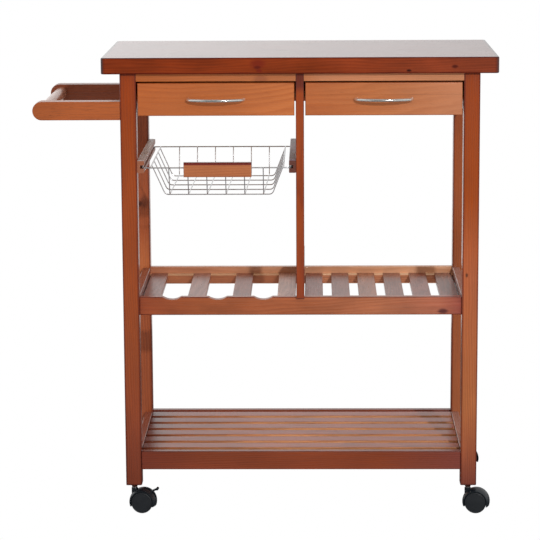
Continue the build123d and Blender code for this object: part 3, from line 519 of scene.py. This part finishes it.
wireCurve.materials.append(wirePlate)
wireBasket = bpy.data.objects.new("basketWire", wireCurve)
bpy.context.scene.collection.objects.link(wireBasket)
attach(wireBasket, "basket")
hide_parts("basket_wires")
print("basket made")

# Wheels of the casters: a rounded tread, and a low dome inside a raised rim; radius and distance from the middle
wheelLook = {"bore": 3.3, "tread": 19, "halfWidth": 4.6, "lip": 0.3, "shoulder": 1.8, "segments": 72, "bevelSteps": 4,
             "face": ((17.4, 4.5), (16.5, 4.35), (16.2, 3.8), (15.8, 3.85), (8, 4.3), (0, 4.45))}
casterTurns = {"front_left": 8, "front_right": 10, "rear_left": -15, "rear_right": -17}
for name, turn in casterTurns.items():
    for side, outward in (("near", -1), ("far", 1)):
        node = "caster_" + name + "_wheel_" + side
        low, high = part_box(node)
        wheel = bmesh.new()
        outline = [(wheelLook["bore"], -wheelLook["halfWidth"]), (wheelLook["tread"], -wheelLook["halfWidth"]),
                   (wheelLook["tread"], wheelLook["halfWidth"] - wheelLook["lip"]), *wheelLook["face"]]
        corners = [wheel.verts.new((radius / 1000, outward * across / 1000, 0)) for radius, across in outline]
        edges = [wheel.edges.new(pair) for pair in zip(corners, corners[1:])]
        bmesh.ops.spin(wheel, geom=corners + edges, cent=(0, 0, 0), axis=(0, 1, 0), angle=2 * pi,
                       steps=wheelLook["segments"], use_merge=True)
        bmesh.ops.remove_doubles(wheel, verts=wheel.verts, dist=1e-6)
        onTread = wheelLook["tread"] / 1000 - 1e-5
        rims = [e for e in wheel.edges if all((v.co.x ** 2 + v.co.z ** 2) ** 0.5 > onTread for v in e.verts)
                and abs(e.verts[0].co.y - e.verts[1].co.y) < 1e-7]
        bmesh.ops.bevel(wheel, geom=rims, offset=wheelLook["shoulder"] / 1000, offset_type="OFFSET",
                        segments=wheelLook["bevelSteps"], profile=0.5, affect="EDGES", material=-1)
        middle = (Vector(low) + Vector(high)) / 2
        wheel.transform(Matrix.Translation(middle) @ Matrix.Rotation(radians(-turn), 4, "Z"))
        finishPiece("casterWheel_" + name + "_" + side, wheel, wheelNylon, node, node)
print("wheels made")

# Stage
stageLook = {"floorRadius": 1.5, "floorGlow": 0.85, "floorShine": 0.08, "backLeft": 1.05, "backRight": 0.69,
             "horizonLift": 1.15, "frontShine": 0.08, "sidePanels": 0.6, "backSoft": 0.6, "frontSoft": 0.7}
floorMesh = bmesh.new()
bmesh.ops.create_circle(floorMesh, cap_ends=True, segments=96, radius=stageLook["floorRadius"])
floorData = bpy.data.meshes.new("studioFloor")
floorMesh.to_mesh(floorData)
floorMesh.free()
studioFloor = bpy.data.objects.new("studioFloor", floorData)
bpy.context.scene.collection.objects.link(studioFloor)
# white paper, lit until it burns out; glossy surfaces see it darker because the light falls off towards the front
paper = bpy.data.materials.new("whitePaperSweep")
paper.use_nodes = True
sheet = paper.node_tree
sheet.nodes.clear()
ray = addNode(sheet, "LightPath").outputs
strength = mapRange(sheet, ray["Is Glossy Ray"], 0, 1, stageLook["floorGlow"], stageLook["floorShine"])
strength = mapRange(sheet, ray["Is Camera Ray"], 0, 1, strength, 1.0)
glow = addNode(sheet, "Emission", {"Strength": strength}).outputs[0]
addNode(sheet, "OutputMaterial", {0: glow})
studioFloor.data.materials.append(paper)

# the room: paler behind the cart and to its left, dark in front between two soft side panels
world = bpy.data.worlds.new("studioRoom")
bpy.context.scene.world = world
world.use_nodes = True
room = world.node_tree
room.nodes.clear()
facing = addNode(room, "SeparateXYZ", {0: addNode(room, "TexCoord").outputs["Generated"]}).outputs
ray = addNode(room, "LightPath").outputs
behind = mapRange(room, facing[1], -0.7, 0.44, interpolation_type="SMOOTHSTEP")
sideways = mapRange(room, facing[0], -0.12, 0.12, stageLook["backLeft"], stageLook["backRight"])
wall = calc(room, "MULTIPLY", sideways, mapRange(room, facing[2], 0.08, 0.3, stageLook["horizonLift"], 1.0))
aside = calc(room, "ABSOLUTE", facing[0])
ahead = mapRange(room, aside, 0.38, 0.5, stageLook["frontShine"], stageLook["sidePanels"])
shine = mapRange(room, behind, 0, 1, ahead, wall)
soft = mapRange(room, behind, 0, 1, stageLook["frontSoft"], stageLook["backSoft"])
level = mapRange(room, ray["Is Glossy Ray"], 0, 1, soft, shine)
level = mapRange(room, ray["Is Camera Ray"], 0, 1, level, 1.0)
background = addNode(room, "Background", {"Color": (1, 1, 1, 1), "Strength": level}).outputs[0]
addNode(room, "OutputWorld", {0: background})

lampLook = {"place": (1.205, -3.95, 2.08), "aim": (0.06, 0, 0.4), "size": 0.13, "watts": 76}
flash = bpy.data.lights.new("keyFlash", "AREA")
flash.shape = "DISK"
flash.size = lampLook["size"]
flash.energy = lampLook["watts"]
flashObject = bpy.data.objects.new("keyFlash", flash)
aim = (Vector(lampLook["aim"]) - Vector(lampLook["place"])).to_track_quat("-Z", "Y").to_matrix().to_4x4()
flashObject.matrix_world = Matrix.Translation(lampLook["place"]) @ aim
bpy.context.scene.collection.objects.link(flashObject)

# Camera, fitted to the photo
viewLook = {"place": (0.084108, -4.147344, 1.174941), "yaw": 0.0192, "pitch": -0.1825, "roll": 0.0055,
            "lens": 156.0164, "sensor": 36, "farthest": 60}
camera = bpy.data.cameras.new("photoView")
camera.sensor_width = viewLook["sensor"]
camera.lens = viewLook["lens"]
camera.clip_end = viewLook["farthest"]
cameraObject = bpy.data.objects.new("photoView", camera)
cameraObject.matrix_world = (Matrix.Translation(viewLook["place"]) @ Matrix.Rotation(viewLook["yaw"], 4, "Z")
                             @ Matrix.Rotation(viewLook["pitch"], 4, "X") @ Matrix.Rotation(viewLook["roll"], 4, "Y")
                             @ Matrix.Rotation(pi / 2, 4, "X"))
bpy.context.scene.collection.objects.link(cameraObject)
bpy.context.scene.camera = cameraObject
bpy.context.scene.view_settings.view_transform = "Standard"
print("stage, lamp and camera set")
